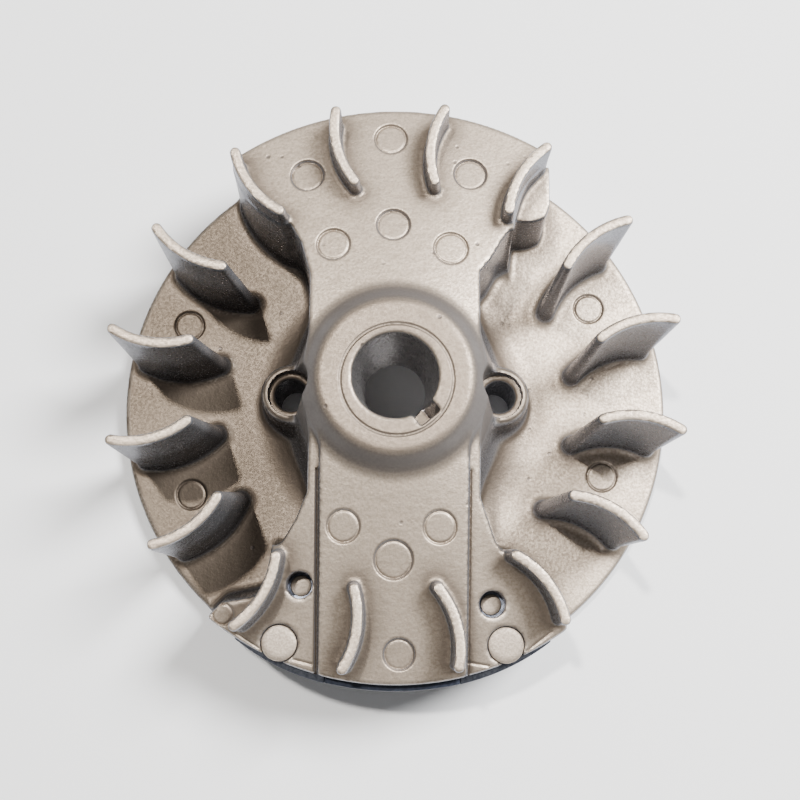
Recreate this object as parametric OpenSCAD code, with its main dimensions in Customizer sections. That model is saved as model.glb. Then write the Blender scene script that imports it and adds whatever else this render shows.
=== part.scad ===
// Fan flywheel with a magneto magnet set, for a small two-stroke engine.
// Origin: axis of the wheel, on the flat back face. +Z: out of the hub's nose.
// The magnet set lies towards -Y and the counterweight towards +Y.

/* [Disc] */
// Outer radius of the cast disc
disc_r = 42.2; // [42.2:0.2:43]
// Thickness of the disc
disc_t = 3; // [2.5:0.5:4]

/* [Hub] */
// Height of the hub's nose above the back face
hub_h = 28.4; // [28:0.2:30]
// Radius of the flat face on the hub's nose
hub_face_r = 10.7; // [10:0.1:11]
// Radius of the hub where it meets the disc
hub_foot_r = 20; // [19.5:0.5:21]

/* [Crankshaft taper] */
// Large diameter of the taper, at the nose
taper_d = 12; // [12:0.5:13]
// Length of the taper
taper_len = 16; // [14:0.5:17]
// Millimetres of length for each millimetre of diameter
taper_ratio = 5; // [5:1:8]
// Width of the key slot
key_w = 3.4; // [2.6:0.1:3.6]
// Distance from the axis to the key slot's outer wall
key_reach = 7.7; // [7:0.1:8]
// Direction of the key slot, counter-clockwise from +X
key_angle = -50.5; // [-60:0.5:-40]
// How far the bottom of the key slot lies above the small end of the taper
key_floor = 1.2; // [0.8:0.1:2]
// Radius of the round recess for the shaft nut, in the back face
nut_recess_r = 9; // [8:0.5:9]

/* [Side holes] */
// Distance between the two threaded side holes
hole_spacing = 31; // [30.5:0.5:31.5]
// Radius of a side hole before tapping
hole_r = 2.5; // [2.1:0.1:2.6]
// Height of the ring at the mouth of the side holes
hole_ring_z = 12; // [11:0.5:13]
// Radius of the counterbore above the ring
hole_cb_r = 3.35; // [3:0.05:3.5]
// Outer radius of the collar around a side hole
collar_r = 4.5; // [4.3:0.1:4.7]

/* [Fan blades] */
// Direction of the first blade's outer tip
blade_first = 102.5; // [100:0.5:105]
// Height of the blade tops above the back face
blade_z = 25.6; // [25:0.2:27]
// Thickness of a blade
blade_t = 1.8; // [1.4:0.1:2.2]
// Radius of the blade's outer edge
blade_out_r = 41; // [40.6:0.2:41.4]
// Radius of the inner edge at the top of a blade
blade_in_r = 28.8; // [28:0.2:30]
// Radius of the inner edge at the foot of a blade
blade_foot_r = 26.4; // [26:0.2:28]
// Radius of the curve that a blade follows
blade_curve_r = 13; // [12.5:0.5:14]

/* [Lobes] */
// Half width of the necks between the hub and the lobes
neck_half = 12; // [11.5:0.1:12.5]
// Height of both necks where they meet the hub
neck_z = 25.2; // [24:0.2:25.6]
// Height of the counterweight lobe at the rim
weight_rim_z = 19; // [18:0.2:20]
// Height of the magnet lobe's middle strip at the rim
strip_rim_z = 18.4; // [18.2:0.2:19]
// Half width of the magnet lobe's raised middle strip
strip_half = 10.4; // [10:0.1:11]
// How far the magnet lobe's flanks lie below the strip
flank_drop = 0.8; // [0.4:0.1:1]

/* [Magnet set] */
// Radius that the pole shoes and the magnet are turned to
shoe_r = 43; // [42.6:0.1:43.4]
// Number of steel laminations in each pole shoe
lam_n = 12; // [10:1:12]
// Thickness of one lamination
lam_t = 1.1; // [0.9:0.05:1.1]
// Half width of the magnet between the shoes
magnet_half = 9.6; // [9:0.1:10]
// Distance from the axis to the magnet's inner face
magnet_in = 29; // [28:0.5:31]
// Radius of the rivets near the rim
rim_rivet_r = 2.6; // [2:0.1:2.7]
// Radius of the inner rivets
inner_rivet_r = 1.5; // [1.2:0.1:1.6]

/* [Hidden] */
$fn = 96;
blade_n = 16;
function two_digits(i) = str(i < 10 ? "0" : "", i);

cast_colour = [0.70, 0.68, 0.65];
steel_colour = [0.45, 0.47, 0.50];
magnet_colour = [0.16, 0.17, 0.20];
rivet_colour = [0.60, 0.60, 0.60];

taper_end_z = hub_h - taper_len;
taper_end_r = (taper_d - taper_len / taper_ratio) / 2;
blade_step = 360 / blade_n;
function blade_angle(i) = blade_first - blade_step * (i - 1);
// Centre of a blade's curve, on its clockwise side, with the blade along +X
curve_x = 35.4;
curve_y = -11.8;
// Where the neck's surface starts, under the hub's flank
neck_r = 13.2;
// The hub's outline above the disc: radius and height, from the foot to the nose
hub_flank = [
    [hub_foot_r, disc_t], [17.4, 4.4], [16, 7.4], [15.2, 13], [14.3, 19],
    [neck_r, neck_z], [11.4, hub_h - 0.7], [hub_face_r, hub_h]];
// Blades that stand on the ends of the two lobes
weight_cw = 3;
weight_ccw = 16;
magnet_ccw = 8;
magnet_cw = 11;
// Centres of the rivets
rim_rivets_at = [[-15.9, -36.4], [15.9, -36.4]];
inner_rivets_at = [[-13.1, -28.4], [13.9, -30.8]];
// Pole shoe, seen from the nose: an arc along the rim and a leg beside the magnet
shoe_top = disc_t + lam_n * lam_t;
shoe_in_r = 32;
shoe_end = 32;
leg_in_y = 26.5;
leg_half = 15.2;
// Recess over an inner rivet
rivet_recess_r = 1.85;
rivet_head = 0.4;
// Height of the side holes' collars above the ring
collar_rise = 1.4;
// Balance pad: its top, its sides and its corner radius
pad_z = 16.6;
pad_x = 22.9;
pad_y = 25.8;
pad_corner = 2.5;
// Radius where a lobe's fan-shaped part starts, and where its blades' tips begin
lobe_in_r = 28.6;
lobe_tip_r = 38;
// Outlines of the necks and of the magnet lobe's ledge, seen from the nose
top_neck = [
    [neck_half, 0], [neck_half, 16], [neck_half + 1.6, 18.6], [neck_half + 3, 21.3],
    [16.6, 23.6], [18, 30], [-18, 30], [-neck_half - 4.3, 25.6], [-neck_half - 1.5, 20.5],
    [-neck_half, 15.5], [-neck_half, 0]];
lower_neck = [
    [neck_half, 0], [neck_half, -16], [neck_half + 2, -22.3], [16, -25], [16, -30],
    [-17, -28.4], [-16.4, -23.4], [-neck_half - 3.4, -22.7], [-neck_half - 1.4, -19.3],
    [-neck_half, -15.6], [-neck_half, 0]];
ledge = [[-14, -26], [-17.5, -28.4], [-20.1, -29], [-24, -29.8], [-25.8, -32], [-26, -36], [-16, -42]];
// Reach of the plain wedges that the lobes are cut from
far = 60;

// Everything under a cone that falls from the hub to the rim, less drop
module under_cone(rim_z, drop) {
    rotate_extrude()
        polygon([[0, disc_t], [disc_r, disc_t], [disc_r, rim_z - drop],
                 [neck_r, neck_z - drop], [0, neck_z - drop]]);
}

// The hub's outside, without any holes
module hub_outside() {
    rotate_extrude()
        polygon(concat([[0, 0], [hub_foot_r, 0]], hub_flank, [[0, hub_h]]));
}

// Places its children at the centre of the curve that blade i follows
module at_curve(i) {
    rotate([0, 0, blade_angle(i)]) translate([curve_x, curve_y, 0]) children();
}

// A slice of the wheel between two directions, reaching past the rim
module wedge(from, to) {
    mid = (from + to) / 2;
    linear_extrude(hub_h)
        polygon([[0, 0], far * [cos(from), sin(from)], far * [cos(mid), sin(mid)],
                 far * [cos(to), sin(to)]]);
}

// The sector that a lobe fills, which ends on the outer faces of two blades
module lobe_sector(cw_blade, ccw_blade) {
    cw = blade_angle(cw_blade);
    ccw = blade_angle(ccw_blade) + (ccw_blade > cw_blade ? 360 : 0);
    difference() {
        union() {
            wedge(cw - 6, ccw - 12);
            intersection() {
                wedge(ccw - 14, ccw + 8);
                at_curve(ccw_blade) cylinder(r = blade_curve_r + blade_t / 2, h = hub_h);
            }
        }
        at_curve(cw_blade) translate([0, 0, -1])
            cylinder(r = blade_curve_r - blade_t / 2, h = hub_h + 2);
        translate([0, 0, -1]) cylinder(r = lobe_in_r, h = hub_h + 2);
        difference() {
            wedge(cw - 8, cw);
            translate([0, 0, -1]) cylinder(r = lobe_tip_r, h = hub_h + 2);
        }
    }
}

// Neck between the hub and a lobe: its outline flares where the lobe begins
module neck(outline) {
    linear_extrude(hub_h) polygon(outline);
}

// Corner of the magnet lobe that reaches past its clockwise blade
module magnet_ledge() {
    linear_extrude(hub_h)
        polygon(ledge);
}

module counterweight_solid() {
    difference() {
        intersection() {
            union() {
                lobe_sector(weight_cw, weight_ccw);
                neck(top_neck);
            }
            under_cone(weight_rim_z, 0);
        }
        hub_outside();
    }
}

module magnet_lobe_solid() {
    difference() {
        union() {
            intersection() {
                union() {
                    lobe_sector(magnet_cw, magnet_ccw);
                    neck(lower_neck);
                    magnet_ledge();
                }
                under_cone(strip_rim_z, flank_drop);
            }
            intersection() {
                translate([-strip_half, -far, 0]) cube([2 * strip_half, far, hub_h]);
                under_cone(strip_rim_z, 0);
            }
        }
        hub_outside();
    }
}

// One blade from the disc up, on a wheel without lobes
module plain_blade(i) {
    intersection() {
        at_curve(i) difference() {
            cylinder(r = blade_curve_r + blade_t / 2, h = blade_z);
            translate([0, 0, -1]) cylinder(r = blade_curve_r - blade_t / 2, h = blade_z + 2);
        }
        rotate_extrude()
            polygon([[blade_foot_r, disc_t], [blade_out_r, disc_t],
                     [blade_out_r, blade_z], [blade_in_r, blade_z]]);
        rotate([0, 0, blade_angle(i)])
            translate([0, curve_y + 3, 0]) cube([far, blade_curve_r, blade_z]);
    }
}

// A blade, cut off where it stands on a lobe's sloping top
module fan_blade(i) {
    on_weight = i <= weight_cw || i == weight_ccw;
    on_flank = i == magnet_ccw || i == magnet_cw;
    on_strip = i > magnet_ccw && i < magnet_cw;
    color(cast_colour)
    difference() {
        plain_blade(i);
        if (on_weight) under_cone(weight_rim_z, 0);
        if (on_flank) under_cone(strip_rim_z, flank_drop);
        if (on_strip) under_cone(strip_rim_z, 0);
    }
}

module hub() {
    color(cast_colour)
    difference() {
        union() {
            hub_outside();
            for (x = [-1, 1] * hole_spacing / 2)
                translate([x, 0, 0]) cylinder(r = collar_r, h = hole_ring_z + collar_rise);
        }
        translate([0, 0, -1]) cylinder(r = nut_recess_r, h = taper_end_z + 1);
        translate([0, 0, taper_end_z])
            cylinder(r1 = taper_end_r, r2 = taper_d / 2, h = taper_len);
        rotate([0, 0, key_angle]) translate([0, -key_w / 2, taper_end_z + key_floor])
            cube([key_reach, key_w, hub_h]);
        for (x = [-1, 1] * hole_spacing / 2) {
            translate([x, 0, -1]) cylinder(r = hole_r, h = hub_h);
            translate([x, 0, hole_ring_z]) cylinder(r = hole_cb_r, h = hub_h);
        }
    }
}

module rotor_disc() {
    color(cast_colour)
    difference() {
        cylinder(r = disc_r, h = disc_t);
        translate([0, 0, -1]) cylinder(r = hub_foot_r, h = disc_t + 2);
    }
}

module counterweight_lobe() {
    color(cast_colour) counterweight_solid();
}

// Cast pad beside the counterweight, left to be ground away when the wheel is balanced
module balance_pad() {
    color(cast_colour)
    intersection() {
        at_curve(weight_cw) cylinder(r = blade_curve_r - blade_t / 2, h = pad_z);
        translate([0, 0, disc_t]) linear_extrude(pad_z - disc_t)
            polygon(concat([[12, pad_y], [pad_x - pad_corner, pad_y]],
                [for (a = [-75:15:0]) [pad_x - pad_corner + pad_corner * cos(a),
                                       pad_y + pad_corner + pad_corner * sin(a)]],
                [[pad_x, 36], [12, 36]]));
    }
}

module magnet_lobe() {
    color(cast_colour)
    difference() {
        magnet_lobe_solid();
        pole_shoe(1, disc_t, lam_n * lam_t);
        pole_shoe(-1, disc_t, lam_n * lam_t);
        magnet_block();
        rivet_holes(rim_rivets_at, rim_rivet_r);
        rivet_holes(inner_rivets_at, rivet_recess_r);
    }
}

module rivet_holes(places, r) {
    for (p = places) translate([p[0], p[1], disc_t]) cylinder(r = r, h = hub_h);
}

// Slab in the plan shape of a pole shoe: side is 1 for +X, -1 for -X
module pole_shoe(side, z, h) {
    start = acos(magnet_half / shoe_r);
    end = 90 - shoe_end;
    rim = [for (k = [0:12]) let (a = start + (end - start) * k / 12)
        shoe_r * [cos(a), sin(a)]];
    inner = [for (a = [end, (end + acos(leg_half / shoe_in_r)) / 2, acos(leg_half / shoe_in_r)])
        shoe_in_r * [cos(a), sin(a)]];
    leg = [[leg_half, leg_in_y], [magnet_half, leg_in_y]];
    translate([0, 0, z]) linear_extrude(h)
        polygon([for (p = concat(rim, inner, leg)) [p[0] * side, -p[1]]]);
}

module lamination(side, i) {
    z = disc_t + (i - 1) * lam_t;
    color(steel_colour)
    difference() {
        pole_shoe(side, z, lam_t);
        rivet_holes(rim_rivets_at, rim_rivet_r);
        rivet_holes(inner_rivets_at, inner_rivet_r);
    }
}

module magnet_block() {
    intersection() {
        translate([-magnet_half, -far, disc_t])
            cube([2 * magnet_half, far - magnet_in, shoe_top - disc_t]);
        cylinder(r = shoe_r, h = shoe_top);
    }
}

module magnet() {
    color(magnet_colour) magnet_block();
}

module rim_rivets() {
    color(rivet_colour)
    intersection() {
        rivet_holes(rim_rivets_at, rim_rivet_r);
        under_cone(strip_rim_z, flank_drop);
    }
}

module inner_rivets() {
    color(rivet_colour)
    for (p = inner_rivets_at)
        translate([p[0], p[1], disc_t])
            cylinder(r = inner_rivet_r, h = shoe_top - disc_t + rivet_head);
}

hub();
rotor_disc();
counterweight_lobe();
balance_pad();
magnet_lobe();
magnet();
for (i = [1:blade_n])
    fan_blade(i);
for (i = [1:lam_n]) {
    lamination(-1, i);
    lamination(1, i);
}
rim_rivets();
inner_rivets();
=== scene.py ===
"""Looks of a cast fan flywheel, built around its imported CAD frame.

The rotor casting is described by distance fields, in millimetres, so that its
fillets, drafts and rounded edges come from the same few sizes everywhere.
"""

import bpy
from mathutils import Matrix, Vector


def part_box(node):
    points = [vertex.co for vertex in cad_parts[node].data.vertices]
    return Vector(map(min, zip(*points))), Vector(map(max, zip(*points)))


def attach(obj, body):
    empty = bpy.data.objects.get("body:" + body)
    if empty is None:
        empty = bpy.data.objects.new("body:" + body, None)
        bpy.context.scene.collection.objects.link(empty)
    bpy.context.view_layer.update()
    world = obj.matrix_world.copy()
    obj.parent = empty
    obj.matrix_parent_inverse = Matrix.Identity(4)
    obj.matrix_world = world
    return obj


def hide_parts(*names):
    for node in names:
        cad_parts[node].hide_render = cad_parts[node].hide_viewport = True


bl_info = {
    "name": "Fan flywheel",
    "version": (1, 0, 0),
    "blender": (4, 5, 0),
    "location": "View3D > Sidebar > Flywheel",
    "description": "Builds the finished pieces of a cast fan flywheel and its stage",
    "category": "Object",
}

import math

import bmesh
import bpy
import numpy as np
from mathutils import Matrix, Vector

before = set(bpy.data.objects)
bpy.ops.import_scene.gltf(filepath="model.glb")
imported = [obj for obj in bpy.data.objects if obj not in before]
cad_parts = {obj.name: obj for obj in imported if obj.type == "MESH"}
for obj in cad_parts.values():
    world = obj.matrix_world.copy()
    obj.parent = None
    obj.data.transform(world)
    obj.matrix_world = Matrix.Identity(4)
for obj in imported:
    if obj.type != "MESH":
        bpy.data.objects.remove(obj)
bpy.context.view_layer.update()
MM = 0.001


def high(node, axis):
    """Highest coordinate of a CAD node along an axis, in millimetres."""
    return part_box(node)[1][axis] / MM


def low(node, axis):
    """Lowest coordinate of a CAD node along an axis, in millimetres."""
    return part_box(node)[0][axis] / MM


# Sizes read from the frame, in millimetres
DISC_R = high("rotor_disc", 0)
DISC_T = high("rotor_disc", 2)
HUB_H = high("hub", 2)
HUB_FOOT_R = high("hub", 0)
BLADE_Z = high("fan_blade_05", 2)
WEIGHT_TOP_Z = high("counterweight_lobe", 2)
STRIP_TOP_Z = high("magnet_lobe", 2)
PAD_Z = high("balance_pad", 2)
PAD_X = high("balance_pad", 0)
PAD_Y = low("balance_pad", 1)
SHOE_R = -low("magnet", 1)
SHOE_TOP = high("magnet", 2)
MAGNET_HALF = high("magnet", 0)
MAGNET_IN = -high("magnet", 1)
LAM_N = sum(name.startswith("left_lamination_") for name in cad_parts)
LAM_T = (SHOE_TOP - DISC_T) / LAM_N

# Sizes that the frame's boxes don't give, in millimetres and degrees
BLADE_N = 16
BLADE_FIRST = 102.5
BLADE_STEP = 360 / BLADE_N
CURVE_R = 13.0
CURVE_X = 35.4
CURVE_Y = -11.8
BLADE_HALF = 0.9
BLADE_IN_R = 28.6
NECK_R = 13.2
WEIGHT_RIM_Z = 19.0
STRIP_RIM_Z = 18.4
STRIP_HALF = 10.4
FLANK_DROP = 0.8
TAPER_R = 6.0
TAPER_LEN = 16.0
TAPER_SLOPE = 0.1
KEY_W = 3.4
KEY_REACH = 7.7
KEY_ANGLE = -50.5
KEY_FLOOR = 1.2
NUT_RECESS_R = 9.0
HOLE_X = 15.5
HOLE_R = 2.5
HOLE_RING_Z = 12.0
COUNTERBORE_R = 3.35
COLLAR_R = 4.5
RIM_RIVETS = ((-15.9, -36.4), (15.9, -36.4))
RIM_RIVET_R = 2.6
INNER_RIVETS = ((-13.1, -28.4), (13.9, -30.8))
INNER_RIVET_R = 1.5
RIVET_RECESS_R = 1.85
RIVET_GAP = 0.06
SHOE_IN_R = 32.0
SHOE_END = 32.0
SHOE_TUCK = 0.7
LEG_IN_Y = 26.5
LEG_HALF = 15.2
# Corners of the necks that join the hub to the lobes
TOP_NECK = ((11.7, 0), (11.7, 16.2), (13.4, 18.4), (15.0, 21.3), (16.6, 23.6), (18.3, 30),
            (-18, 30), (-16.4, 25.6), (-13.5, 20.5), (-12.1, 15.5), (-12, 0))
LOWER_NECK = ((11.8, 0), (11.8, -16.1), (14, -22.3), (16, -25), (16, -30),
              (-17.0, -28.4), (-16.4, -23.4), (-15.4, -22.7), (-13.4, -19.3), (-11.9, -15.6), (-11.8, 0))
# Corners of the magnet lobe's ledge, and how far its wall leans out per millimetre down
LEDGE = ((-14, -26), (-17.5, -29.4), (-20.1, -30.4), (-24.0, -31.2),
         (-25.9, -33.2), (-26, -38), (-14, -42))
LEDGE_DRAFT = 0.11
# How far the lobes' other walls lean out per millimetre down
LOBE_DRAFT = 0.022
# Radius of the hub's flank at heights above the back face
HUB_FLANK = ((DISC_T, 18.2), (4.4, 17.2), (7.4, 16), (13, 15.2), (19, 14.3),
             (STRIP_TOP_Z, NECK_R), (HUB_H - 0.7, 11.4), (HUB_H + 1, 10.4))
# Width of the fillet around the hub at heights above the back face
HUB_FILLET = ((3, 4.5), (12, 2.4), (19, 1.1))
SHOE_ARC_STEPS = 24
# Half the gap between neighbouring sheets of the pole shoes
SHEET_GAP = 0.01


def blade_angle(i):
    """Direction of blade i's outer tip, in degrees."""
    return BLADE_FIRST - BLADE_STEP * (i - 1)


def turned(x, y, degrees):
    """The point or grid (x, y) turned about the wheel's axis."""
    c, s = math.cos(math.radians(degrees)), math.sin(math.radians(degrees))
    return x * c - y * s, x * s + y * c


# ---------------------------------------------------------------- distance fields

def smooth_min(a, b, k):
    """Union of two distance fields, with a fillet about k wide where they meet."""
    h = np.maximum(k - np.abs(a - b), 0) / k
    return np.minimum(a, b) - h * h * k * 0.25


def smooth_max(a, b, k):
    """Intersection of two distance fields, with an edge rounded over about k."""
    return -smooth_min(-a, -b, k)


def polygon_distance(x, y, corners):
    """Signed distance in the plane to a closed outline, negative inside."""
    best = np.full(x.shape, 1e9, np.float32)
    inside = np.zeros(x.shape, bool)
    for (ax, ay), (bx, by) in zip(corners, [*corners[1:], corners[0]]):
        ex, ey = bx - ax, by - ay
        along = np.clip(((x - ax) * ex + (y - ay) * ey) / (ex * ex + ey * ey), 0, 1)
        best = np.minimum(best, (x - ax - ex * along) ** 2 + (y - ay - ey * along) ** 2)
        if ay != by:
            crosses = (ay <= y) != (by <= y)
            inside ^= crosses & (x < ax + (y - ay) * ex / ey)
    return np.where(inside, -1, 1) * np.sqrt(best)


def wedge_distance(x, y, start, end):
    """Distance to the slice between two directions less than 180 degrees apart."""
    sx, sy = turned(1, 0, start)
    ex, ey = turned(1, 0, end)
    return np.maximum(sy * x - sx * y, ex * y - ey * x)


def curve_distance(x, y, i):
    """Distance from the centre of the curve that blade i follows."""
    cx, cy = turned(CURVE_X, CURVE_Y, blade_angle(i))
    return np.hypot(x - cx, y - cy)


def shoe_outline(side):
    """Plan of a pole shoe: an arc on the rim, and a leg beside the magnet."""
    start = math.degrees(math.acos(MAGNET_HALF / SHOE_R))
    end = 90 - SHOE_END
    inner = math.degrees(math.acos(LEG_HALF / SHOE_IN_R))
    parts = [k / SHOE_ARC_STEPS for k in range(SHOE_ARC_STEPS + 1)]
    arc = [(SHOE_R - SHOE_TUCK * t ** 2, start + (end - start) * t) for t in parts]
    arc += [(SHOE_IN_R, a) for a in (end, (end + inner) / 2, inner)]
    plan = [turned(r, 0, a) for r, a in arc] + [(LEG_HALF, LEG_IN_Y), (MAGNET_HALF, LEG_IN_Y)]
    return [(x * side, -y) for x, y in plan]


class Field:
    """The rotor casting's distance field on a regular grid."""

    def __init__(self, step):
        margin = 3 * step
        reach = SHOE_R + margin
        self.step = step
        self.low = np.array((-reach, -reach, -margin), np.float32)
        count = [int(2 * reach / step) + 2] * 2 + [int((HUB_H + 2 * margin) / step) + 2]
        axes = [self.low[a] + step * np.arange(count[a], dtype=np.float32) for a in range(3)]
        self.axes = axes
        self.x, self.y = np.meshgrid(axes[0], axes[1], indexing="ij")
        self.r = np.hypot(self.x, self.y)
        self.z = axes[2][None, None, :]
        self.d = np.full(count, 1e3, np.float32)

    def up(self, plan):
        """A plan field, ready to combine with heights."""
        return plan[:, :, None]

    def add(self, part, k):
        self.d = smooth_min(self.d, part, k)

    def cut(self, part, k):
        self.d = smooth_max(self.d, -part, k)

    def around(self, x0, y0, x1, y1):
        """Index ranges of the grid columns inside a rectangle."""
        spans = []
        for axis, a, b in ((0, x0, x1), (1, y0, y1)):
            i, j = np.searchsorted(self.axes[axis], (a, b))
            spans.append(slice(max(i - 1, 0), j + 1))
        return tuple(spans)


def cone_height(r, top_z, rim_z):
    """Height of the cone that falls from the hub to the rim."""
    return top_z + (rim_z - top_z) * (r - NECK_R) / (DISC_R - NECK_R)


def lobe_plan(x, y, r, cw_blade, ccw_blade, neck):
    """Plan of a neck and its lobe, which ends on the outer faces of two blades."""
    cw = blade_angle(cw_blade)
    ccw = blade_angle(ccw_blade) + (360 if ccw_blade > cw_blade else 0)
    middle = wedge_distance(x, y, cw - 6, ccw - 12)
    tail = np.maximum(wedge_distance(x, y, ccw - 14, ccw + 8),
                      curve_distance(x, y, ccw_blade) - CURVE_R - BLADE_HALF)
    sector = np.minimum(middle, tail)
    sector = np.maximum(sector, CURVE_R - BLADE_HALF - curve_distance(x, y, cw_blade))
    sector = np.maximum(sector, BLADE_IN_R - r)
    along_x, along_y = turned(1, 0, cw)
    past_tip = np.minimum(along_y * x - along_x * y, r - 0.9 * DISC_R)
    sector = np.maximum(sector, past_tip)
    return smooth_min(sector, polygon_distance(x, y, neck) - 0.2, 0.8)


def add_blade(f, i, sizes):
    """One drafted blade, thicker and longer at its foot, joined with a fillet."""
    tip_x, tip_y = turned(DISC_R - 7, 0, blade_angle(i))
    box = f.around(tip_x - 13, tip_y - 13, tip_x + 13, tip_y + 13)
    x, y = turned(f.x[box], f.y[box], -blade_angle(i))
    x = f.up(x - CURVE_X)
    y = f.up(y - CURVE_Y)
    depth = np.clip((BLADE_Z - f.z) / (BLADE_Z - DISC_T), -0.2, 1.1)
    half = sizes.blade_top_half / MM + sizes.blade_draft * depth
    # The blade's ends, as angles on its curve, move with height
    out_r = sizes.blade_tip_r / MM - half - 0.6 * depth
    in_r = sizes.blade_inner_r / MM + half - 2.1 * depth
    # Along the curve, the distance from the axis falls from the tip's side to the hub's
    angles = np.radians(np.linspace(160, -17, 355))
    reach = np.hypot(CURVE_X + CURVE_R * np.cos(angles), CURVE_Y + CURVE_R * np.sin(angles))
    ends = [np.interp(end_r, reach, angles) for end_r in (out_r, in_r)]
    middle, spread = (ends[0] + ends[1]) / 2, (ends[1] - ends[0]) / 2
    along = np.arctan2(y, x) - middle
    along = (along + np.pi) % (2 * np.pi) - np.pi
    nearest = middle + np.clip(along, -spread, spread)
    distance = np.hypot(x - CURVE_R * np.cos(nearest), y - CURVE_R * np.sin(nearest))
    blade = smooth_max(distance - half, f.z - BLADE_Z, sizes.edge / MM)
    blade = np.maximum(blade, 1.0 - f.z)
    fillet = sizes.blade_fillet / MM * (0.35 + 0.65 * np.clip(1.6 * depth - 0.6, 0, 1))
    f.d[box] = smooth_min(f.d[box], blade, fillet)


def casting_field(sizes):
    """Everything in one aluminium casting, as a distance field."""
    f = Field(sizes.grain_step / MM)
    x, y, r, z = f.x, f.y, f.r, f.z
    edge = sizes.edge / MM
    fillet = sizes.fillet / MM

    disc = smooth_max(f.up(r) - DISC_R, np.abs(z - DISC_T / 2) - DISC_T / 2, 0.9)
    f.d[:] = disc

    weight = lobe_plan(x, y, r, 3, 16, TOP_NECK)
    draft = LOBE_DRAFT * (WEIGHT_TOP_Z - z)
    weight = smooth_max(f.up(weight) - draft, f.up(r) - DISC_R, edge)
    top = (z - f.up(cone_height(r, WEIGHT_TOP_Z, WEIGHT_RIM_Z))) * 0.98
    f.add(smooth_max(weight, np.maximum(top, 0.5 - z), edge), fillet)

    ledge = f.up(polygon_distance(x, y, LEDGE) - 0.3) - LEDGE_DRAFT * (STRIP_RIM_Z - z)
    magnet = np.minimum(f.up(lobe_plan(x, y, r, 11, 8, LOWER_NECK)) - draft, ledge)
    magnet = smooth_max(magnet, f.up(r) - DISC_R, edge)
    flank = (z - f.up(cone_height(r, STRIP_TOP_Z - FLANK_DROP, STRIP_RIM_Z - FLANK_DROP))) * 0.98
    f.add(smooth_max(magnet, np.maximum(flank, 0.5 - z), 1.2 * edge), fillet)
    strip = np.maximum(f.up(np.abs(x) - STRIP_HALF), f.up(y + 8))
    strip = smooth_max(strip, f.up(r) - DISC_R, edge)
    top = (z - f.up(cone_height(r, STRIP_TOP_Z, STRIP_RIM_Z))) * 0.98
    f.add(smooth_max(strip, np.maximum(top, 0.5 - z), 0.3), 0.15)

    for i in range(1, BLADE_N + 1):
        add_blade(f, i, sizes)

    flank_r = np.interp(f.axes[2], *zip(*HUB_FLANK))[None, None, :]
    hub = smooth_max((f.up(r) - flank_r) * 0.95, z - HUB_H, 1.0)
    hub_fillet = np.interp(f.axes[2], *zip(*HUB_FILLET))[None, None, :]
    f.add(np.maximum(hub, 0.2 - z), hub_fillet)

    pad = polygon_distance(x, y, [(12, PAD_Y), (PAD_X, PAD_Y), (PAD_X, 36), (12, 36)])
    pad = np.maximum(pad, curve_distance(x, y, 3) - CURVE_R + BLADE_HALF / 2)
    pad = smooth_max(pad, (x - PAD_X) * 0.7 - (y - PAD_Y) * 0.7 + 0.9, 1.5)
    pad = f.up(pad) - 0.02 * (PAD_Z - z)
    f.add(smooth_max(pad, np.maximum(z - PAD_Z, 0.5 - z), edge), 0.6)

    # Fillets swell past the rim and the back, so both are faced off
    f.d = smooth_max(f.d, np.maximum(f.up(r) - DISC_R, -z), 0.5)

    for side in (-1, 1):
        from_hole = f.up(np.hypot(x - side * HOLE_X, y))
        collar = smooth_max(from_hole - COLLAR_R - 0.03 * (HOLE_RING_Z - z), z - HOLE_RING_Z - 1.4, 1.5)
        f.add(np.maximum(collar, 1 - z), 1.6)
        bore = np.maximum(HOLE_R - 0.1, HOLE_R + 0.3 - np.abs(z - HOLE_RING_Z))
        f.cut(from_hole - bore, 0.1)
        ring = HOLE_RING_Z - 0.35 * np.clip(from_hole - HOLE_R - 0.3, 0, 1)
        f.cut(np.maximum(from_hole - COUNTERBORE_R, ring - z), 0.2)

    taper_end = HUB_H - TAPER_LEN
    taper_r = TAPER_R - TAPER_SLOPE * (HUB_H - z) + np.maximum(z - HUB_H + 0.25, 0)
    f.cut(f.up(r) - taper_r, 0.15)
    f.cut(np.maximum(f.up(r) - NUT_RECESS_R, z - taper_end), 0.5)
    along, across = turned(x, y, -KEY_ANGLE)
    key = np.maximum(np.abs(across) - KEY_W / 2, np.maximum(along - KEY_REACH, -along))
    f.cut(np.maximum(f.up(key), taper_end + KEY_FLOOR - z), 0.2)

    for side in (-1, 1):
        shoe = polygon_distance(x, y, shoe_outline(side))
        f.cut(np.maximum(f.up(shoe), np.abs(z - (DISC_T + SHOE_TOP) / 2) - (SHOE_TOP - DISC_T) / 2), 0.1)
    magnet = np.maximum(np.abs(x) - MAGNET_HALF, y + MAGNET_IN)
    f.cut(np.maximum(f.up(magnet), np.abs(z - (DISC_T + SHOE_TOP) / 2) - (SHOE_TOP - DISC_T) / 2), 0.1)
    for places, hole in ((RIM_RIVETS, RIM_RIVET_R), (INNER_RIVETS, RIVET_RECESS_R)):
        for px, py in places:
            f.cut(np.maximum(f.up(np.hypot(x - px, y - py) - hole), SHOE_TOP - 1 - z), 0.25)
    return f


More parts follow.
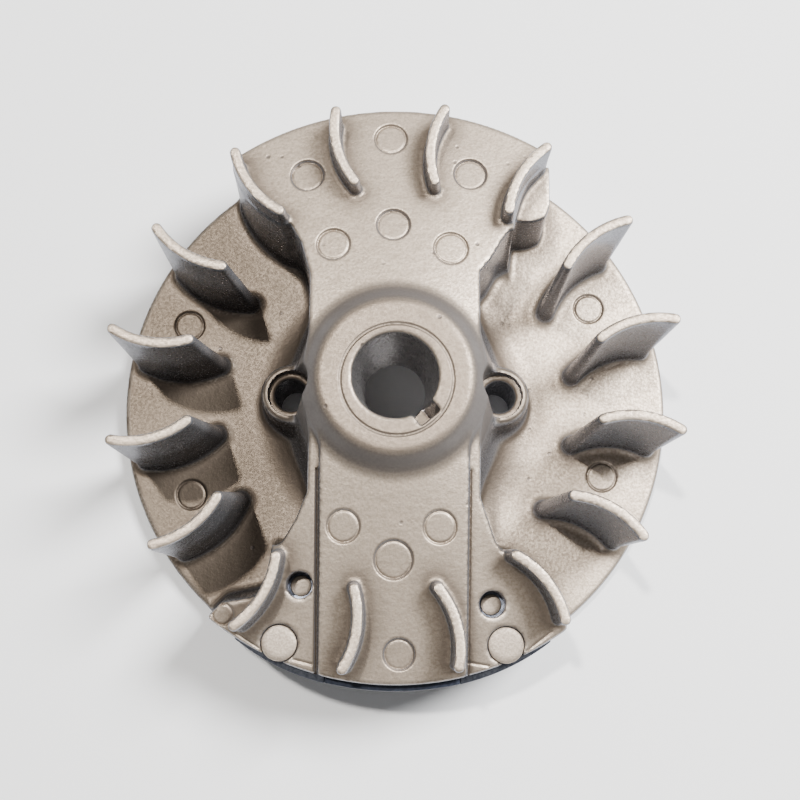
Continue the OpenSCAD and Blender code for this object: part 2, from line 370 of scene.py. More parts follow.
def surface(f):
    """Turns the field's zero level into points and quads."""
    d = f.d
    inside = d < 0
    cells = tuple(n - 1 for n in d.shape)
    corner_at = [(i, j, k) for i in (0, 1) for j in (0, 1) for k in (0, 1)]

    def view(a, at):
        return a[tuple(slice(o, o + n) for o, n in zip(at, cells))]

    count = sum(view(inside, at).astype(np.uint8) for at in corner_at)
    active = (count > 0) & (count < 8)
    cell = np.array(np.nonzero(active))
    number = np.full(cells, -1, np.int32)
    number[active] = np.arange(cell.shape[1])
    value = {at: d[tuple(cell[a] + at[a] for a in range(3))] for at in corner_at}

    local = np.zeros((3, cell.shape[1]), np.float32)
    hits = np.zeros(cell.shape[1], np.float32)
    for at in corner_at:
        for axis in range(3):
            if at[axis]:
                continue
            to = tuple(o + (a == axis) for a, o in enumerate(at))
            a, b = value[at], value[to]
            crosses = (a < 0) != (b < 0)
            t = np.where(crosses, a / np.where(crosses, a - b, 1), 0)
            for k in range(3):
                local[k] += np.where(crosses, at[k] + (t if k == axis else 0), 0)
            hits += crosses
    local /= hits

    def level_and_slope(p):
        level = np.zeros(p.shape[1], np.float32)
        slope = np.zeros_like(p)
        for at in corner_at:
            w = [p[a] if at[a] else 1 - p[a] for a in range(3)]
            level += value[at] * w[0] * w[1] * w[2]
            for a in range(3):
                others = w[(a + 1) % 3] * w[(a + 2) % 3]
                slope[a] += value[at] * others * (1 if at[a] else -1)
        return level, slope

    for _ in range(3):
        level, slope = level_and_slope(local)
        local -= level * slope / np.maximum((slope ** 2).sum(0), 1e-6)
        local = np.clip(local, 0, 1)

    quads = []
    for axis in range(3):
        u, v = (axis + 1) % 3, (axis + 2) % 3
        lower = [slice(None)] * 3
        upper = [slice(None)] * 3
        lower[axis], upper[axis] = slice(None, -1), slice(1, None)
        for s in (lower, upper):
            s[u] = s[v] = slice(1, -1)
        low_in, high_in = inside[tuple(lower)], inside[tuple(upper)]
        at = np.array(np.nonzero(low_in != high_in))
        at[u] += 1
        at[v] += 1
        ring = []
        for du, dv in ((-1, -1), (0, -1), (0, 0), (-1, 0)):
            near = at.copy()
            near[u] += du
            near[v] += dv
            ring.append(number[tuple(near)])
        ring = np.array(ring).T
        flip = ~inside[tuple(at)]
        ring[flip] = ring[flip][:, ::-1]
        quads.append(ring)
    points = f.low[:, None] + f.step * (cell + local)
    return points.T, np.concatenate(quads)


def sample(f, points):
    """The field's value at points, by the nearest grid value."""
    at = np.rint((points - f.low) / f.step).astype(int)
    at = np.clip(at, 0, np.array(f.d.shape) - 1)
    return f.d[at[:, 0], at[:, 1], at[:, 2]]


def new_piece(name, mesh):
    piece = bpy.data.objects.new(name, mesh)
    bpy.context.scene.collection.objects.link(piece)
    return piece


def quad_mesh(name, points, quads):
    """A mesh, in metres, from points in millimetres and quads."""
    mesh = bpy.data.meshes.new(name)
    mesh.vertices.add(len(points))
    mesh.vertices.foreach_set("co", (points * MM).astype(np.float32).ravel())
    mesh.loops.add(quads.size)
    mesh.loops.foreach_set("vertex_index", quads.astype(np.int32).ravel())
    mesh.polygons.add(len(quads))
    mesh.polygons.foreach_set("loop_start", np.arange(0, quads.size, 4, dtype=np.int32))
    mesh.update(calc_edges=True)
    mesh.validate()
    return mesh


# ---------------------------------------------------------------- marks in the casting

# Ejector pin marks: place, radius and how far each is sunk, in millimetres
LOBE_MARKS = (
    (-1.0, 37.2, 2.3, 0.22), (10.7, 31.6, 2.3, 0.50), (-13.2, 31.2, 2.35, 0.55),
    (-9.1, 20.0, 2.3, 0.22), (-0.5, 23.1, 2.3, 0.50), (7.8, 19.5, 2.35, 0.16),
    (-7.0, -20.4, 2.2, 0.20), (6.4, -20.4, 2.2, 0.14), (0.0, -24.9, 2.6, 0.36),
    (0.9, -37.8, 2.1, 0.50), (-24.0, -32.5, 1.5, 0.12),
)
DISC_MARKS = (
    (-32.5, 12.5, 2.2, 0.12), (-31.3, -14.2, 2.2, 0.16),
    (30.4, 15.9, 2.2, 0.14), (32.1, -10.8, 2.2, 0.12),
)
GROOVE_W = 0.19
GROOVE_D = 0.20
# Witness line of the ejector sleeve on the hub's face
SLEEVE_R = 7.8
SLEEVE_AT = (0.2, -0.6)
# Shoe lines: where the turned rim breaks through the skin over the pole shoes
SHOE_LINES = (
    ((-21.9, -35.2), (-18.1, -37.6)), ((-13.8, -38.7), (-11.4, -39.3)),
    ((10.7, -38.9), (13.4, -39.3)), ((18.9, -37.2), (22.3, -34.5)),
)


# Cast lines along the foot of the strip's sides: place, half-width and depth
STRIP_LINES = ((-STRIP_HALF - 0.32, 0.24, 0.5), (STRIP_HALF + 0.22, 0.16, 0.3))
STRIP_LINE_Y = -12.5


def near_segment(x, y, start, end):
    """Distance in the plane to a straight line between two points."""
    ex, ey = end[0] - start[0], end[1] - start[1]
    along = np.clip(((x - start[0]) * ex + (y - start[1]) * ey) / (ex * ex + ey * ey), 0, 1)
    return np.hypot(x - start[0] - along * ex, y - start[1] - along * ey)


def groove(distance, depth):
    """Depth of a fine round-bottomed line at a distance from its middle."""
    return depth * np.exp(-(distance / GROOVE_W) ** 2)


def strip_line_depth(points):
    """How deep the cast lines beside the strip are at points of the surface."""
    x, y, z = points.T
    here = (y < STRIP_LINE_Y) & (z > SHOE_TOP) & (np.hypot(x, y) < DISC_R - 0.2)
    depth = np.zeros(len(points))
    for line_x, half, sunk in STRIP_LINES:
        depth += np.where(here, sunk * np.exp(-((x - line_x) / half) ** 2), 0)
    return depth


def mark_depth(points):
    """How deep the ejector marks and lines are at points of the surface."""
    x, y, z = points.T
    depth = np.zeros(len(points))
    near = np.zeros(len(points), bool)
    for marks, on_level in ((LOBE_MARKS, z > WEIGHT_RIM_Z - 3), (DISC_MARKS, z < DISC_T + 0.5)):
        for mx, my, mr, sunk in marks:
            inward = mr - np.hypot(x - mx, y - my)
            here = on_level & (inward > -0.8)
            fall = sunk / (1 + np.exp(-np.clip(inward / 0.06, -30, 30)))
            depth += np.where(here, fall + groove(inward, GROOVE_D), 0)
            near |= here & (inward < 0.7)
    from_line = np.abs(np.hypot(x - SLEEVE_AT[0], y - SLEEVE_AT[1]) - SLEEVE_R)
    face = (z > HUB_H - 0.3) & (from_line < 0.5)
    depth += np.where(face, groove(from_line, 0.8 * GROOVE_D), 0)
    near |= face
    for start, end in SHOE_LINES:
        from_line = near_segment(x, y, start, end)
        here = (z > SHOE_TOP) & (from_line < 0.5)
        depth += np.where(here, groove(from_line, 0.8 * GROOVE_D), 0)
        near |= here
    beside_strip = strip_line_depth(points)
    depth += beside_strip
    near |= beside_strip > 0.001
    return depth, near


def engrave(mesh):
    """Divides the mesh finely around the marks and sinks them into it."""
    bm = bmesh.new()
    bm.from_mesh(mesh)
    centres = np.array([face.calc_center_median() for face in bm.faces]) / MM
    upright = np.array([face.normal.z for face in bm.faces]) > 0.8
    upright |= strip_line_depth(centres) > 0.001
    _, near = mark_depth(centres)
    bm.faces.ensure_lookup_table()
    edges = {edge for n in np.nonzero(near & upright)[0] for edge in bm.faces[n].edges}
    bmesh.ops.subdivide_edges(bm, edges=list(edges), cuts=2, use_grid_fill=True)
    bm.normal_update()
    points = np.array([v.co for v in bm.verts]) / MM
    upright = np.array([v.normal.z for v in bm.verts]) > 0.8
    upright |= strip_line_depth(points) > 0.001
    depth, _ = mark_depth(points)
    bm.verts.ensure_lookup_table()
    for n in np.nonzero((depth > 1e-4) & upright)[0]:
        bm.verts[n].co.z -= depth[n] * MM
    bm.to_mesh(mesh)
    bm.free()


def shade(mesh, f):
    """Stores how sheltered and how exposed each point is, for the finish: the shelter sets painted
    shade, the exposure lighter edges.
    """
    points = np.empty(len(mesh.vertices) * 3, np.float32)
    mesh.vertices.foreach_get("co", points)
    points = points.reshape(-1, 3) / MM
    normals = np.empty(len(mesh.vertices) * 3, np.float32)
    mesh.vertex_normals.foreach_get("vector", normals)
    normals = normals.reshape(-1, 3)
    # Painted shade: the nearer the casting lies in front of a point, the darker its colour
    shelter = np.zeros(len(points))
    for reach in (1.5, 4.0, 8.0):
        shelter += np.clip(1 - sample(f, points + normals * reach) / reach, 0, 1) / 3
    depth = 0.7
    exposed = np.clip(1 + sample(f, points - normals * depth) / depth, 0, 1)
    r, z = np.hypot(points[:, 0], points[:, 1]), points[:, 2]
    # Painted shade in a ring around the hub's foot, low down
    shelter += 0.5 * np.clip((HUB_FOOT_R + 6 - r) / 7, 0, 1) * (z < HOLE_RING_Z + 4)
    in_taper = (r < TAPER_R + 0.1) & (z > HUB_H - TAPER_LEN - 0.2) & (z < HUB_H - 0.3)
    machined = (in_taper & (np.abs(normals[:, 2]) < 0.5)).astype(float)
    steep = (1 - np.abs(normals[:, 2])) * (1 - machined)
    beside_hub = np.clip((15.4 - r) / 0.6, 0, 1) * np.clip((z - 15) / 3, 0, 1) * (r > TAPER_R + 1)
    flank = beside_hub * np.clip((steep - 0.04) / 0.2, 0, 1)
    shelter *= 1 - machined
    # Painted shade in the cast lines beside the strip
    shelter += 1.2 * strip_line_depth(points)
    for name, values in (("shelter", shelter), ("exposed", exposed), ("steep", steep),
                         ("machined", machined), ("flank", flank)):
        attribute = mesh.attributes.new(name, "FLOAT", "POINT")
        attribute.data.foreach_set("value", values.astype(np.float32))


# ---------------------------------------------------------------- materials

def node(tree, kind, settings=None, **inputs):
    """Adds a node, sets its properties, and links or fills its inputs."""
    new = tree.nodes.new(kind)
    for name, value in (settings or {}).items():
        setattr(new, name, value)
    for name, value in inputs.items():
        socket = new.inputs[int(name[1:])] if name[1:].isdigit() else new.inputs[name.replace("_", " ")]
        if isinstance(value, bpy.types.NodeSocket):
            tree.links.new(value, socket)
        else:
            socket.default_value = value
    return new


def math_node(tree, operation, a, b=0.0, clamp=False):
    made = node(tree, "ShaderNodeMath", {"operation": operation, "use_clamp": clamp}, i0=a, i1=b)
    return made.outputs[0]


def scaled(tree, value, factor):
    return math_node(tree, "MULTIPLY", value, factor)


def sloped(tree, value, slope, start):
    """start + slope * value"""
    made = math_node(tree, "MULTIPLY_ADD", value, slope)
    made.node.inputs[2].default_value = start
    return made


def stored(tree, name):
    """A value that was stored on the mesh."""
    return node(tree, "ShaderNodeAttribute", {"attribute_name": name}).outputs["Fac"]


def mix_colour(tree, factor, a, b, blend="MIX"):
    made = node(tree, "ShaderNodeMix", {"data_type": "RGBA", "blend_type": blend}, i0=factor, i6=a, i7=b)
    return made.outputs[2]


def ramp(tree, factor, low_at, high_at):
    """A smooth step from 0 to 1 between two values."""
    made = node(tree, "ShaderNodeMapRange", {"interpolation_type": "SMOOTHSTEP"},
                i0=factor, i1=low_at, i2=high_at)
    return made.outputs[0]


def noise(tree, where, scale, detail=3.0, roughness=0.5, distortion=0.0):
    made = node(tree, "ShaderNodeTexNoise", {}, Vector=where, Scale=scale, Detail=detail,
                Roughness=roughness, Distortion=distortion)
    return made.outputs["Fac"]


def new_group(name, inputs, outputs):
    """An empty shader group with named value inputs and outputs."""
    group = bpy.data.node_groups.new(name, "ShaderNodeTree")
    for label, kind, value in inputs:
        made = group.interface.new_socket(name=label, in_out="INPUT", socket_type=kind)
        made.default_value = value
    for label, kind in outputs:
        group.interface.new_socket(name=label, in_out="OUTPUT", socket_type=kind)
    return group, group.nodes.new("NodeGroupInput"), group.nodes.new("NodeGroupOutput")


def metal_grain_group():
    """Blasted or sawn metal's fine grain: its height, its speckle and its pits."""
    name = "metal grain"
    if name in bpy.data.node_groups:
        return bpy.data.node_groups[name]
    group, given, result = new_group(
        name,
        [("Grain size", "NodeSocketFloat", 0.25), ("Pit amount", "NodeSocketFloat", 0.5)],
        [("Height", "NodeSocketFloat"), ("Speckle", "NodeSocketFloat"), ("Pits", "NodeSocketFloat")])
    where = node(group, "ShaderNodeTexCoord").outputs["Object"]
    scale = math_node(group, "DIVIDE", 1000.0, given.outputs["Grain size"])
    fine = noise(group, where, scale, 4.0, 0.65)
    coarse = noise(group, where, math_node(group, "MULTIPLY", scale, 0.28), 3.0, 0.6)
    cells = node(group, "ShaderNodeTexVoronoi", {}, Vector=where,
                 Scale=math_node(group, "MULTIPLY", scale, 0.16)).outputs["Distance"]
    place = ramp(group, noise(group, where, math_node(group, "MULTIPLY", scale, 0.05), 2.0), 0.5, 0.62)
    pits = math_node(group, "MULTIPLY", ramp(group, cells, 0.16, 0.05), place)
    pits = math_node(group, "MULTIPLY", pits, given.outputs["Pit amount"])
    height = math_node(group, "ADD", scaled(group, coarse, 0.6), scaled(group, fine, 0.4))
    height = math_node(group, "SUBTRACT", height, scaled(group, pits, 0.8))
    group.links.new(height, result.inputs["Height"])
    group.links.new(ramp(group, fine, 0.35, 0.65), result.inputs["Speckle"])
    group.links.new(pits, result.inputs["Pits"])
    return group


def stain_group():
    """Soft patches of handling stain."""
    name = "stain patches"
    if name in bpy.data.node_groups:
        return bpy.data.node_groups[name]
    group, given, result = new_group(
        name,
        [("Patch size", "NodeSocketFloat", 12.0), ("Cover", "NodeSocketFloat", 0.4)],
        [("Stain", "NodeSocketFloat")])
    where = node(group, "ShaderNodeTexCoord").outputs["Object"]
    scale = math_node(group, "DIVIDE", 1000.0, given.outputs["Patch size"])
    patches = noise(group, where, scale, 5.0, 0.55, 0.6)
    start = math_node(group, "SUBTRACT", 0.75, math_node(group, "MULTIPLY", given.outputs["Cover"], 0.3))
    stain = ramp(group, patches, start, math_node(group, "ADD", start, 0.16))
    group.links.new(stain, result.inputs["Stain"])
    return group


def new_material(name):
    material = bpy.data.materials.new(name)
    material.use_nodes = True
    tree = material.node_tree
    shader = tree.nodes["Principled BSDF"]
    return material, tree, shader


def placed(tree, group, **values):
    """A group node with its own input values."""
    made = tree.nodes.new("ShaderNodeGroup")
    made.node_tree = group
    for name, value in values.items():
        made.inputs[name.replace("_", " ")].default_value = value
    return made


def bump(tree, height, distance, strength):
    made = node(tree, "ShaderNodeBump", {}, Strength=strength, Distance=distance, Height=height)
    return made.outputs["Normal"]


def darker_minus_x_side(tree):
    """Mask of the disc's -X side, low down between the blades, where the casting is made darker."""
    place = node(tree, "ShaderNodeTexCoord").outputs["Object"]
    apart = node(tree, "ShaderNodeSeparateXYZ", {}, i0=place)
    ragged = math_node(tree, "MULTIPLY", noise(tree, place, 70, 4, 0.55), 0.016)
    across = math_node(tree, "ADD", apart.outputs["X"], ragged)
    across = ramp(tree, across, 0.016, -0.018)
    deep = ramp(tree, apart.outputs["Z"], 0.0185, 0.0120)
    return math_node(tree, "MULTIPLY", across, deep)


def cast_material(colours):
    """Shot-blasted die-cast aluminium: grainy, warm grey, with painted shade where it is sheltered, on
    its walls and on the hub's flank, a painted bluish reflection on its walls, darker low on its -X
    side, and lighter edges of wear and painted highlight.
    """
    material, tree, shader = new_material("cast_aluminium")
    grain = placed(tree, metal_grain_group(), Grain_size=0.42, Pit_amount=1.0)
    stain = placed(tree, stain_group(), Patch_size=15.0, Cover=0.30).outputs["Stain"]
    mottle = placed(tree, stain_group(), Patch_size=1.6, Cover=0.7).outputs["Stain"]
    speckle = grain.outputs["Speckle"]
    shelter = ramp(tree, stored(tree, "shelter"), 0.14, 0.66)
    exposed = ramp(tree, stored(tree, "exposed"), 0.15, 0.55)
    wall_shade_mask = ramp(tree, stored(tree, "steep"), 0.16, 0.50)
    flank = stored(tree, "flank")
    machined = stored(tree, "machined")
    minus_x_dark = darker_minus_x_side(tree)
    # Colour, from the blasted metal outward: stains, a darker -X side, lighter edges, then painted shade
    # and reflection
    base = mix_colour(tree, speckle, colours.cast_dark, colours.cast_light)
    base = mix_colour(tree, scaled(tree, mottle, 0.3), base, colours.cast_dark)
    base = mix_colour(tree, scaled(tree, stain, 0.5), base, colours.cast_stain)
    # Darker colour low on the disc's -X side
    base = mix_colour(tree, scaled(tree, minus_x_dark, 0.95), base, colours.cast_minus_x_dark)
    # Lighter edges: blasting wear and a painted highlight
    base = mix_colour(tree, scaled(tree, exposed, 0.6), base, colours.cast_edge_wear_and_highlight)
    # Painted shade and a painted bluish reflection on the walls, darker on the -X side
    wall_shade_colour = mix_colour(tree, minus_x_dark, colours.cast_wall_shade, colours.cast_wall_shade_minus_x)
    base = mix_colour(tree, scaled(tree, wall_shade_mask, 0.95), base, wall_shade_colour)
    # Painted shade where the casting is sheltered, in corners and around the hub's foot, less of it on
    # the walls
    painted_corner_shade = scaled(tree, shelter, sloped(tree, wall_shade_mask, -0.55, 0.8))
    base = mix_colour(tree, painted_corner_shade, base, colours.cast_painted_shade)
    pits = scaled(tree, grain.outputs["Pits"], sloped(tree, wall_shade_mask, -0.65, 0.8))
    base = mix_colour(tree, pits, base, colours.cast_pit)
    # Painted shade on the hub's flank
    base = mix_colour(tree, scaled(tree, flank, 0.85), base, colours.cast_flank_shade)
    base = mix_colour(tree, machined, base, colours.cast_reamed)
    tree.links.new(base, shader.inputs["Base Color"])
    # The walls' skin and the reamed taper are smoother, and the hub's flank is duller
    rough = sloped(tree, speckle, -0.10, 0.54)
    rough = math_node(tree, "SUBTRACT", rough, scaled(tree, wall_shade_mask, 0.2), True)
    rough = math_node(tree, "ADD", rough, scaled(tree, flank, 0.2), True)
    rough = math_node(tree, "SUBTRACT", rough, scaled(tree, machined, 0.2), True)
    tree.links.new(rough, shader.inputs["Roughness"])
    tree.links.new(sloped(tree, wall_shade_mask, -0.3, 0.9), shader.inputs["Metallic"])
    shader.inputs["Specular Tint"].default_value = (0.46, 0.46, 0.50, 1)
    # The grain fades where the metal is smooth
    smooth = math_node(tree, "MAXIMUM", machined, flank)
    smooth = math_node(tree, "MAXIMUM", scaled(tree, wall_shade_mask, 0.8), smooth)
    height = scaled(tree, grain.outputs["Height"], sloped(tree, smooth, -0.85, 1.0))
    tree.links.new(bump(tree, height, 0.00016, 0.5), shader.inputs["Normal"])
    return material


def lamination_material(colours):
    """Electrical steel sheet, turned on its rim edge and lightly oiled."""
    material, tree, shader = new_material("lamination_steel")
    grain = placed(tree, metal_grain_group(), Grain_size=0.5, Pit_amount=0.3)
    stain = placed(tree, stain_group(), Patch_size=6.0, Cover=0.5)
    base = mix_colour(tree, grain.outputs["Speckle"], colours.steel_dark, colours.steel_light)
    blued = scaled(tree, stain.outputs["Stain"], 0.6)
    base = mix_colour(tree, blued, base, colours.steel_blue)
    tree.links.new(base, shader.inputs["Base Color"])
    tree.links.new(sloped(tree, stain.outputs["Stain"], 0.18, 0.32), shader.inputs["Roughness"])
    shader.inputs["Metallic"].default_value = 1.0
    shader.inputs["Specular Tint"].default_value = (0.4, 0.4, 0.45, 1)
    tree.links.new(bump(tree, grain.outputs["Height"], 0.00005, 0.4), shader.inputs["Normal"])
    return material


def magnet_material(colours):
    """Sintered ferrite, ground on the rim."""
    material, tree, shader = new_material("magnet")
    grain = placed(tree, metal_grain_group(), Grain_size=0.4, Pit_amount=1.0)
    base = mix_colour(tree, grain.outputs["Speckle"], colours.magnet, colours.magnet_light)
    tree.links.new(base, shader.inputs["Base Color"])
    tree.links.new(sloped(tree, grain.outputs["Speckle"], 0.15, 0.45), shader.inputs["Roughness"])
    shader.inputs["Metallic"].default_value = 0.3
    tree.links.new(bump(tree, grain.outputs["Height"], 0.00008, 0.5), shader.inputs["Normal"])
    return material


def rivet_material(colours):
    """Steel rivet heads, blasted together with the casting."""
    material, tree, shader = new_material("rivet_steel")
    grain = placed(tree, metal_grain_group(), Grain_size=0.32, Pit_amount=0.5)
    base = mix_colour(tree, grain.outputs["Speckle"], colours.rivet_dark, colours.rivet_light)
    tree.links.new(base, shader.inputs["Base Color"])
    tree.links.new(sloped(tree, grain.outputs["Speckle"], -0.1, 0.6), shader.inputs["Roughness"])
    shader.inputs["Metallic"].default_value = 0.85
    tree.links.new(bump(tree, grain.outputs["Height"], 0.00012, 0.5), shader.inputs["Normal"])
    return material


# ---------------------------------------------------------------- other pieces

def bevelled_slab(name, plan, z_low, z_high, width):
    """A closed slab from a plan outline in millimetres, with bevelled edges."""
    bm = bmesh.new()
    ring = [bm.verts.new((x * MM, y * MM, z_low * MM)) for x, y in plan]
    face = bm.faces.new(ring)
    bmesh.ops.recalc_face_normals(bm, faces=[face])
    made = bmesh.ops.extrude_face_region(bm, geom=[face])
    lifted = [v for v in made["geom"] if isinstance(v, bmesh.types.BMVert)]
    bmesh.ops.translate(bm, verts=lifted, vec=(0, 0, (z_high - z_low) * MM))
    bmesh.ops.recalc_face_normals(bm, faces=bm.faces)
    edges = [e for e in bm.edges if len(e.link_faces) == 2 and e.calc_face_angle(0) > math.radians(40)]
    bmesh.ops.bevel(bm, geom=edges, offset=width * MM, segments=2, profile=0.5, affect="EDGES",
                    clamp_overlap=True)
    mesh = bpy.data.meshes.new(name)
    bm.to_mesh(mesh)
    bm.free()
    return mesh


def lathe(bm, profile, x, y, steps=48):
    """Adds a closed solid of revolution about an upright axis at (x, y)."""
    rings = []
    for r, z in profile:
        if r < 1e-6:
            rings.append([bm.verts.new((x * MM, y * MM, z * MM))])
            continue
        rings.append([bm.verts.new(((x + r * math.cos(a)) * MM, (y + r * math.sin(a)) * MM, z * MM))
                      for a in (2 * math.pi * k / steps for k in range(steps))])
    for lower, upper in zip(rings, rings[1:]):
        for k in range(steps):
            n = (k + 1) % steps
            corners = [lower[k % len(lower)], lower[n % len(lower)],
                       upper[n % len(upper)], upper[k % len(upper)]]
            bm.faces.new(list(dict.fromkeys(corners)))


def finish_piece(name, mesh, material, slot, *replaced):
    """Places a finished piece on the wheel, in place of its CAD nodes."""
    piece = new_piece(name, mesh)
    mesh.materials.append(material)
    mesh.shade_smooth()
    mesh.set_sharp_from_angle(angle=math.radians(38))
    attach(piece, "root")
    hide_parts(*replaced)
    return piece


def casting_nodes():
    """The CAD nodes that are one casting in the metal."""
    blades = [f"fan_blade_{i:02d}" for i in range(1, BLADE_N + 1)]
    return ["hub", "rotor_disc", "counterweight_lobe", "balance_pad", "magnet_lobe"] + blades


# ---------------------------------------------------------------- properties and operators

def length(label, words, default):
    return bpy.props.FloatProperty(name=label, description=words, default=default, min=0, unit="LENGTH",
                                   precision=5)


def colour(label, words, default):
    return bpy.props.FloatVectorProperty(name=label, description=words, default=(*default, 1.0), size=4,
                                         subtype="COLOR", min=0, max=1)


class FlywheelSizes(bpy.types.PropertyGroup):
    """Sizes of the casting's finish"""
    grain_step: length("Mesh step", "Distance between points of the casting's mesh", 0.0003)
    edge: length("Edge rounding", "Rounding of cast edges", 0.0004)
    fillet: length("Fillet", "Fillet between lobes and disc", 0.0016)
    blade_fillet: length("Blade fillet", "Fillet at the foot of the blades", 0.0015)
    blade_top_half: length("Blade half thickness", "Half the thickness at a blade's top", 0.00078)
    blade_tip_r: length("Blade tip radius", "Distance of a blade's outer tip from the axis", 0.0411)
    blade_inner_r: length("Blade inner radius", "Distance of a blade's inner end from the axis", 0.0287)
    blade_draft: bpy.props.FloatProperty(
        name="Blade draft", description="Growth of a blade's half thickness to its foot, in mm",
        default=0.45, min=0)


class FlywheelColours(bpy.types.PropertyGroup):
    """Colours of the finishes"""
    cast_light: colour("Casting light", "Brighter grains of the casting", (0.57, 0.475, 0.38))
    cast_dark: colour("Casting dark", "Darker grains of the casting", (0.38, 0.31, 0.243))
    # Painted shade and a painted bluish reflection on the walls
    cast_wall_shade: colour("Casting skin", "Smoother, darker skin on the walls", (0.27, 0.28, 0.305))
    # Painted wall shade, darker on the -X side
    cast_wall_shade_minus_x: colour("Oiled skin", "Skin on the oily walls", (0.105, 0.106, 0.114))
    # Painted shade on the hub's flank
    cast_flank_shade: colour("Hub flank", "Cast flank of the hub", (0.15, 0.134, 0.122))
    # Darker colour low on the disc's -X side
    cast_minus_x_dark: colour("Casting oil", "Where oil has darkened the casting", (0.112, 0.088, 0.066))
    cast_reamed: colour("Reamed bore", "Machined metal of the shaft taper", (0.60, 0.58, 0.57))
    # Lighter edges: blasting wear and a painted highlight
    cast_edge_wear_and_highlight: colour("Casting edge", "Casting where blasting has worn its edges", (0.62, 0.54, 0.45))
    # Painted shade in the casting's corners and around the hub's foot
    cast_painted_shade: colour("Casting shelter", "Casting in its corners", (0.17, 0.135, 0.105))
    cast_stain: colour("Casting stain", "Handling stains", (0.27, 0.19, 0.125))
    cast_pit: colour("Casting pits", "Small pits in the casting's skin", (0.14, 0.12, 0.11))
    steel_light: colour("Steel light", "Brighter grains of the laminations", (0.17, 0.18, 0.21))
    steel_dark: colour("Steel dark", "Darker grains of the laminations", (0.09, 0.10, 0.125))
    steel_blue: colour("Steel bluing", "Blued patches on the laminations", (0.03, 0.045, 0.09))
    magnet: colour("Magnet", "Ferrite", (0.012, 0.016, 0.030))
    magnet_light: colour("Magnet light", "Ferrite grains", (0.03, 0.038, 0.062))
    rivet_light: colour("Rivet light", "Brighter grains of the rivets", (0.44, 0.37, 0.30))
    rivet_dark: colour("Rivet dark", "Darker grains of the rivets", (0.33, 0.275, 0.222))


class FLYWHEEL_OT_casting(bpy.types.Operator):
    """Build the rotor casting: hub, disc, lobes, balance pad and sixteen blades"""
    bl_idname = "flywheel.casting"
    bl_label = "Rotor casting"

    def execute(self, context):
        f = casting_field(context.scene.flywheel_sizes)
        points, quads = surface(f)
        mesh = quad_mesh("rotor_casting", points, quads)
        engrave(mesh)
        shade(mesh, f)
        material = cast_material(context.scene.flywheel_colours)
        finish_piece("rotor_casting", mesh, material, "cast_aluminium", *casting_nodes())
        return {"FINISHED"}


class FLYWHEEL_OT_laminations(bpy.types.Operator):
    """Build the steel laminations of both pole shoes"""
    bl_idname = "flywheel.laminations"
    bl_label = "Pole shoe laminations"

    def execute(self, context):
        material = lamination_material(context.scene.flywheel_colours)
        for label, side in (("left", -1), ("right", 1)):
            for i in range(1, LAM_N + 1):
                node_name = f"{label}_lamination_{i:02d}"
                z = DISC_T + (i - 1) * LAM_T
                low_z, high_z = z + SHEET_GAP, z + LAM_T - SHEET_GAP
                mesh = bevelled_slab(node_name, shoe_outline(side), low_z, high_z, 0.14)
                finish_piece(node_name + "_sheet", mesh, material, "lamination_steel", node_name)
        return {"FINISHED"}


class FLYWHEEL_OT_magnet(bpy.types.Operator):
    """Build the magnet block between the pole shoes"""
    bl_idname = "flywheel.magnet"
    bl_label = "Magnet"

    def execute(self, context):
        half = math.degrees(math.asin(MAGNET_HALF / SHOE_R))
        arc = [turned(SHOE_R, 0, -90 - half + 2 * half * k / 32) for k in range(33)]
        plan = arc + [(MAGNET_HALF, -MAGNET_IN), (-MAGNET_HALF, -MAGNET_IN)]
        mesh = bevelled_slab("magnet_block", plan, DISC_T, SHOE_TOP, 0.25)
        material = magnet_material(context.scene.flywheel_colours)
        finish_piece("magnet_block", mesh, material, "magnet", "magnet")
        return {"FINISHED"}


class FLYWHEEL_OT_rivets(bpy.types.Operator):
    """Build the rivets at the rim and at the inner ends of the shoes"""
    bl_idname = "flywheel.rivets"
    bl_label = "Rivets"

    def execute(self, context):
        material = rivet_material(context.scene.flywheel_colours)
        recess = high("inner_rivets", 2)
        for name, places, r, top in (
                ("rim_rivets", RIM_RIVETS, RIM_RIVET_R - RIVET_GAP, None),
                ("inner_rivets", INNER_RIVETS, INNER_RIVET_R, recess)):
            bm = bmesh.new()
            for x, y in places:
                level = cone_height(math.hypot(x, y), STRIP_TOP_Z, STRIP_RIM_Z) - FLANK_DROP
                flat = level if top is None else top
                profile = [(0, DISC_T), (r, DISC_T), (r, flat - 0.35), (r - 0.1, flat - 0.1),
                           (r - 0.35, flat), (0.6 * r, flat + 0.03), (0, flat + 0.03)]
                lathe(bm, profile, x, y)
            bmesh.ops.recalc_face_normals(bm, faces=bm.faces)
            mesh = bpy.data.meshes.new(name + "_closed")
            bm.to_mesh(mesh)
            bm.free()
            finish_piece(name + "_closed", mesh, material, "rivet_steel", name)
        return {"FINISHED"}


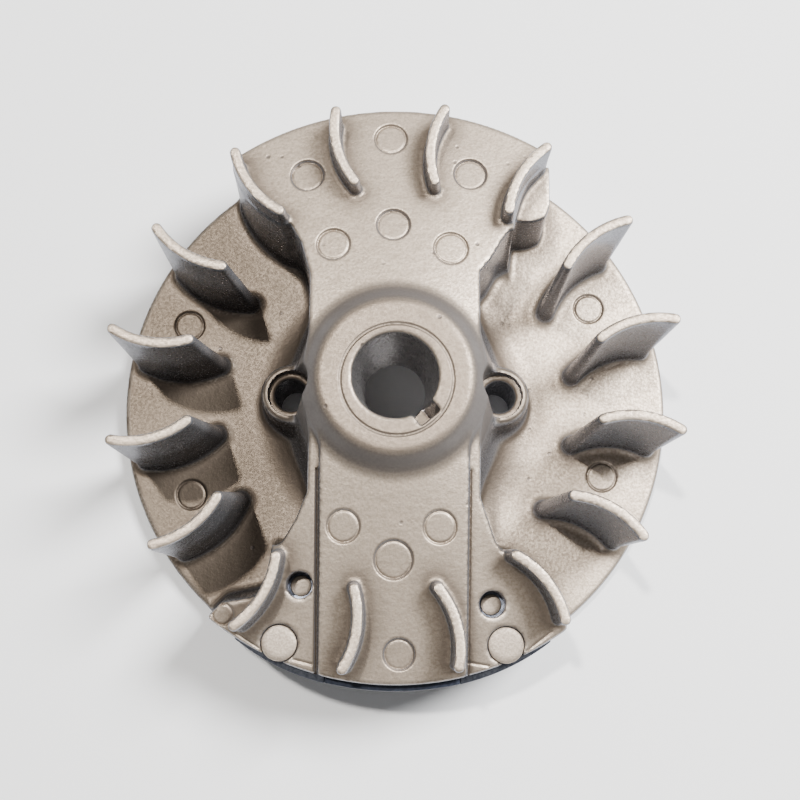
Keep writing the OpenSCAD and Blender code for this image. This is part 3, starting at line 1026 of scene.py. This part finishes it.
class FLYWHEEL_OT_stage(bpy.types.Operator):
    """Build the floor, the lights and the camera"""
    bl_idname = "flywheel.stage"
    bl_label = "Stage"

    def execute(self, context):
        scene = context.scene
        bm = bmesh.new()
        bmesh.ops.create_grid(bm, x_segments=1, y_segments=1, size=1.5)
        mesh = bpy.data.meshes.new("floor")
        bm.to_mesh(mesh)
        bm.free()
        floor = new_piece("floor", mesh)
        floor.location.z = -0.0001
        material, tree, shader = new_material("floor_paper")
        shader.inputs["Base Color"].default_value = (0.95, 0.955, 0.96, 1)
        shader.inputs["Roughness"].default_value = 0.9
        mesh.materials.append(material)

        world = bpy.data.worlds.new("studio")
        scene.world = world
        world.use_nodes = True
        tree = world.node_tree
        sky = tree.nodes["Background"]
        direction = node(tree, "ShaderNodeTexCoord").outputs["Generated"]
        height = node(tree, "ShaderNodeSeparateXYZ", {}, i0=direction).outputs["Z"]
        shade_up = ramp(tree, height, 0.25, 0.95)
        sky_colour = mix_colour(tree, shade_up, (0.035, 0.055, 0.085, 1), (1.0, 0.98, 0.96, 1))
        tree.links.new(sky_colour, sky.inputs["Color"])
        sky.inputs["Strength"].default_value = 0.35

        key = bpy.data.lights.new("key", "SUN")
        key.energy = 2.8
        key.angle = math.radians(3)
        key.color = (1.0, 0.97, 0.93)
        key_object = new_piece("key", key)
        key_object.rotation_euler = Vector((-0.20, 0.25, 1.0)).to_track_quat("Z", "Y").to_euler()

        side = bpy.data.lights.new("side", "AREA")
        side.shape = "DISK"
        side.size = 0.2
        side.energy = 8.5
        side_object = new_piece("side", side)
        toward = Vector((0.62, 0.36, 1.0))
        side_object.location = 0.6 * toward.normalized()
        side_object.rotation_euler = toward.to_track_quat("Z", "Y").to_euler()

        camera = bpy.data.cameras.new("camera")
        camera.lens = 58.5
        camera.sensor_width = 36.0
        camera.shift_x = 0.0063
        camera.shift_y = 0.0076
        camera.clip_start = 0.01
        camera_object = new_piece("camera", camera)
        tilt, roll, away = math.radians(9.8), -0.010, 0.203
        target = Vector((0, 0, DISC_T * MM))
        place = target + away * Vector((0, -math.sin(tilt), math.cos(tilt)))
        camera_object.matrix_world = (
            Matrix.Translation(place) @ Matrix.Rotation(tilt, 4, "X") @ Matrix.Rotation(-roll, 4, "Z"))
        scene.camera = camera_object
        return {"FINISHED"}


class FLYWHEEL_PT_panel(bpy.types.Panel):
    """Lists the flywheel's pieces"""
    bl_idname = "FLYWHEEL_PT_panel"
    bl_label = "Fan flywheel"
    bl_space_type = "VIEW_3D"
    bl_region_type = "UI"
    bl_category = "Flywheel"

    def draw(self, context):
        for operator in OPERATORS:
            self.layout.operator(operator.bl_idname)
        for group in (context.scene.flywheel_sizes, context.scene.flywheel_colours):
            for name in group.__annotations__:
                self.layout.prop(group, name)


OPERATORS = (FLYWHEEL_OT_stage, FLYWHEEL_OT_casting, FLYWHEEL_OT_laminations,
             FLYWHEEL_OT_magnet, FLYWHEEL_OT_rivets)
CLASSES = (FlywheelSizes, FlywheelColours, *OPERATORS, FLYWHEEL_PT_panel)


def register():
    for cls in CLASSES:
        bpy.utils.register_class(cls)
    bpy.types.Scene.flywheel_sizes = bpy.props.PointerProperty(type=FlywheelSizes)
    bpy.types.Scene.flywheel_colours = bpy.props.PointerProperty(type=FlywheelColours)


def unregister():
    del bpy.types.Scene.flywheel_colours
    del bpy.types.Scene.flywheel_sizes
    for cls in reversed(CLASSES):
        bpy.utils.unregister_class(cls)


def main():
    register()
    bpy.ops.flywheel.stage()
    bpy.ops.flywheel.casting()
    bpy.ops.flywheel.laminations()
    bpy.ops.flywheel.magnet()
    bpy.ops.flywheel.rivets()


if __name__ == "__main__":
    main()
